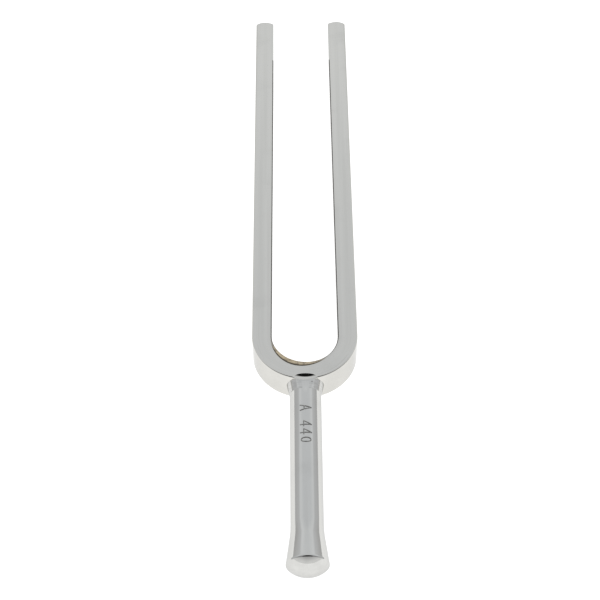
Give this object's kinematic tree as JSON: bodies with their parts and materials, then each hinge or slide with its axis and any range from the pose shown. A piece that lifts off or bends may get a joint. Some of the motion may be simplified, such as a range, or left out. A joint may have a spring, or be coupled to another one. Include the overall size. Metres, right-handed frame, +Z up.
{
  "type": "tuning fork",
  "caption": "Hand-held tuning fork: a steel bar bent into a U of straight prongs, with a round stem and a flared, domed foot.",
  "frame": {"origin": "on the surface that the fork lies on, under the middle of its whole length and width", "axes": "+Z up out of the front face, +Y along the fork towards the prong tips, X across the prongs"},
  "size_m": [0.0168, 0.1152, 0.0064],
  "materials": {
    "nickel_bar": "polished nickel plate over steel, with fine polishing lines along the prongs",
    "nickel_stem": "polished nickel plate over turned steel",
    "nickel_braze": "polished nickel plate over dressed braze"
  },
  "bodies": {
    "root": {"tine_bar": "nickel_bar", "stem": "nickel_stem", "braze_fillet": "nickel_braze"}
  },
  "joints": []
}
